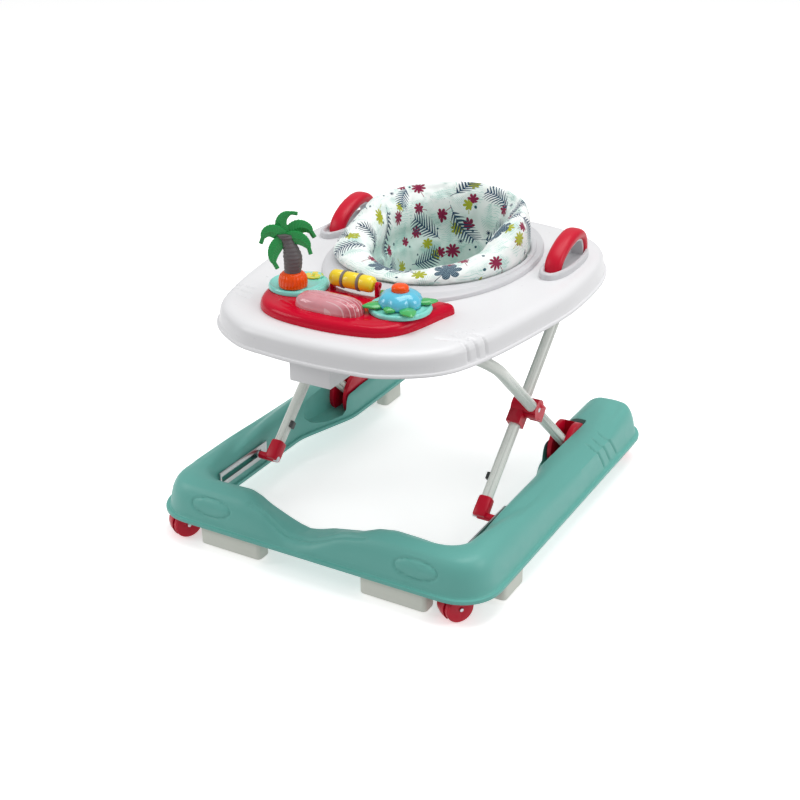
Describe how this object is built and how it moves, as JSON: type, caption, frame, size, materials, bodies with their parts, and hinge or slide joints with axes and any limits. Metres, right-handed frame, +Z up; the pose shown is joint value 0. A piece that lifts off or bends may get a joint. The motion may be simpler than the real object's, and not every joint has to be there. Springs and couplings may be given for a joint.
{
  "type": "baby walker",
  "caption": "Folding baby walker with a U-shaped rolling base, scissor legs, a play tray with toys and handles, and a soft fabric seat.",
  "frame": {"origin": "centre of the footprint on the floor under the wheels", "axes": "+Z up, -Y the way the child walks, towards the play panel, +X to the right when looking at the play panel from in front"},
  "size_m": [0.61, 0.688, 0.5509],
  "materials": {
    "teal_shell": "fine satin texture",
    "slot_rail": "bright zinc",
    "stopper_pad": "matt moulded",
    "red_fitting": "satin gloss",
    "steel_pin": "zinc plated",
    "bracket_plastic": "matt moulded",
    "caster_hood": "satin gloss",
    "caster_wheel": "satin gloss",
    "leg_tube": "powder coat",
    "dark_plastic": "matt",
    "white_tray": "satin",
    "latch_red": "satin gloss",
    "grey_ring": "satin",
    "seat_fabric": "printed woven polyester",
    "handle_base": "satin",
    "handle_grip": "satin gloss",
    "toy_red": "high gloss",
    "circuit_board": "solder mask",
    "pink_lens": "translucent",
    "aqua_disc": "gloss",
    "orange_plastic": "gloss",
    "trunk_grey": "satin",
    "leaf_green": "satin",
    "lime_disc": "gloss with a printed pattern",
    "yellow_roller": "gloss",
    "cradle_grey": "satin",
    "turtle_blue": "gloss"
  },
  "bodies": {
    "base": {"base_shell": "teal_shell", "slot_rail_left": "slot_rail", "slot_rail_right": "slot_rail", "front_pads": "stopper_pad", "side_pads": "stopper_pad", "hub_left": "red_fitting", "hub_right": "red_fitting", "hub_pins": "steel_pin", "caster_sockets": "bracket_plastic"},
    "outer_legs": {"outer_leg_frame": "leg_tube", "clamp_outer_left": "red_fitting", "clamp_outer_right": "red_fitting", "cross_pins": "steel_pin"},
    "inner_legs": {"inner_tube_left": "leg_tube", "inner_tube_right": "leg_tube", "foot_left": "red_fitting", "foot_right": "red_fitting", "foot_pins": "steel_pin", "clamp_inner_left": "red_fitting", "clamp_inner_right": "red_fitting", "tube_clips": "dark_plastic"},
    "tray": {"tray_shell": "white_tray", "adjust_housing": "white_tray", "pivot_bracket_left": "bracket_plastic", "pivot_bracket_right": "bracket_plastic", "pivot_pins": "steel_pin", "seat_ring": "grey_ring", "seat_fabric": "seat_fabric", "seat_hooks": "dark_plastic", "handle_base_left": "handle_base", "handle_base_right": "handle_base", "handle_grip_left": "handle_grip", "handle_grip_right": "handle_grip", "toy_panel": "toy_red", "panel_screws": "steel_pin", "circuit_board": "circuit_board", "lens_dome": "pink_lens", "palm_disc": "aqua_disc", "roller_cradle": "cradle_grey", "turtle_disc": "aqua_disc"},
    "latch": {"height_latch": "latch_red"},
    "palm": {"palm_dome": "orange_plastic", "palm_trunk": "trunk_grey", "palm_leaves": "leaf_green"},
    "spinner": {"pattern_disc": "lime_disc"},
    "bead_roller": {"roller": "yellow_roller"},
    "turtle": {"turtle_body": "turtle_blue"},
    "turtle_top": {"turtle_button": "orange_plastic"},
    "caster_fl": {"caster_hood_fl": "caster_hood", "caster_axle_fl": "steel_pin"},
    "wheels_fl": {"caster_wheels_fl": "caster_wheel"},
    "caster_fr": {"caster_hood_fr": "caster_hood", "caster_axle_fr": "steel_pin"},
    "wheels_fr": {"caster_wheels_fr": "caster_wheel"},
    "caster_rl": {"caster_hood_rl": "caster_hood", "caster_axle_rl": "steel_pin"},
    "wheels_rl": {"caster_wheels_rl": "caster_wheel"},
    "caster_rr": {"caster_hood_rr": "caster_hood", "caster_axle_rr": "steel_pin"},
    "wheels_rr": {"caster_wheels_rr": "caster_wheel"}
  },
  "joints": [
    {"name": "fold", "type": "hinge", "parent": "base", "child": "outer_legs", "pos_m": [0, 0.1525, 0.0738], "axis": [1, 0, 0], "range_deg": [0, 33.5]},
    {"name": "cross_pivot", "type": "hinge", "parent": "outer_legs", "child": "inner_legs", "pos_m": [0, 0.00715, 0.20514], "axis": [1, 0, 0], "range_deg": [-67, 0]},
    {"name": "tray_pivot", "type": "hinge", "parent": "inner_legs", "child": "tray", "pos_m": [0, 0.17854, 0.36001], "axis": [1, 0, 0], "range_deg": [0, 33.5]},
    {"name": "latch_slide", "type": "slide", "parent": "tray", "child": "latch", "axis": [0, 1, 0], "range_m": [0, 0.014], "stiffness_N_per_m": 300},
    {"name": "palm_spin", "type": "hinge", "parent": "tray", "child": "palm", "pos_m": [-0.098, -0.203, 0.43], "axis": [0, 0, 1], "continuous": true},
    {"name": "spinner_spin", "type": "hinge", "parent": "tray", "child": "spinner", "pos_m": [-0.092, -0.153, 0.4326], "axis": [0, 0, 1], "continuous": true},
    {"name": "roller_spin", "type": "hinge", "parent": "tray", "child": "bead_roller", "pos_m": [-0.009, -0.164, 0.442], "axis": [1, 0, 0], "continuous": true},
    {"name": "turtle_turn", "type": "hinge", "parent": "tray", "child": "turtle", "pos_m": [0.086, -0.193, 0.43], "axis": [0, 0, 1], "range_deg": [-30, 30]},
    {"name": "turtle_press", "type": "slide", "parent": "turtle", "child": "turtle_top", "axis": [0, 0, -1], "range_m": [0, 0.003], "stiffness_N_per_m": 400},
    {"name": "swivel_fl", "type": "hinge", "parent": "base", "child": "caster_fl", "pos_m": [-0.252, -0.302, 0.06], "axis": [0, 0, 1], "continuous": true},
    {"name": "wheel_spin_fl", "type": "hinge", "parent": "caster_fl", "child": "wheels_fl", "pos_m": [-0.25836, -0.31218, 0.023], "axis": [0.848, -0.5299, 0], "continuous": true},
    {"name": "swivel_fr", "type": "hinge", "parent": "base", "child": "caster_fr", "pos_m": [0.252, -0.302, 0.06], "axis": [0, 0, 1], "continuous": true},
    {"name": "wheel_spin_fr", "type": "hinge", "parent": "caster_fr", "child": "wheels_fr", "pos_m": [0.24564, -0.31218, 0.023], "axis": [0.848, -0.5299, 0], "continuous": true},
    {"name": "swivel_rl", "type": "hinge", "parent": "base", "child": "caster_rl", "pos_m": [-0.262, 0.286, 0.06], "axis": [0, 0, 1], "continuous": true},
    {"name": "wheel_spin_rl", "type": "hinge", "parent": "caster_rl", "child": "wheels_rl", "pos_m": [-0.262, 0.298, 0.023], "axis": [-1, 0, 0], "continuous": true},
    {"name": "swivel_rr", "type": "hinge", "parent": "base", "child": "caster_rr", "pos_m": [0.262, 0.286, 0.06], "axis": [0, 0, 1], "continuous": true},
    {"name": "wheel_spin_rr", "type": "hinge", "parent": "caster_rr", "child": "wheels_rr", "pos_m": [0.262, 0.298, 0.023], "axis": [-1, 0, 0], "continuous": true}
  ],
  "couplings": [
    {"joint": "cross_pivot", "follows": "fold", "ratio": -2},
    {"joint": "tray_pivot", "follows": "fold", "ratio": 1}
  ]
}
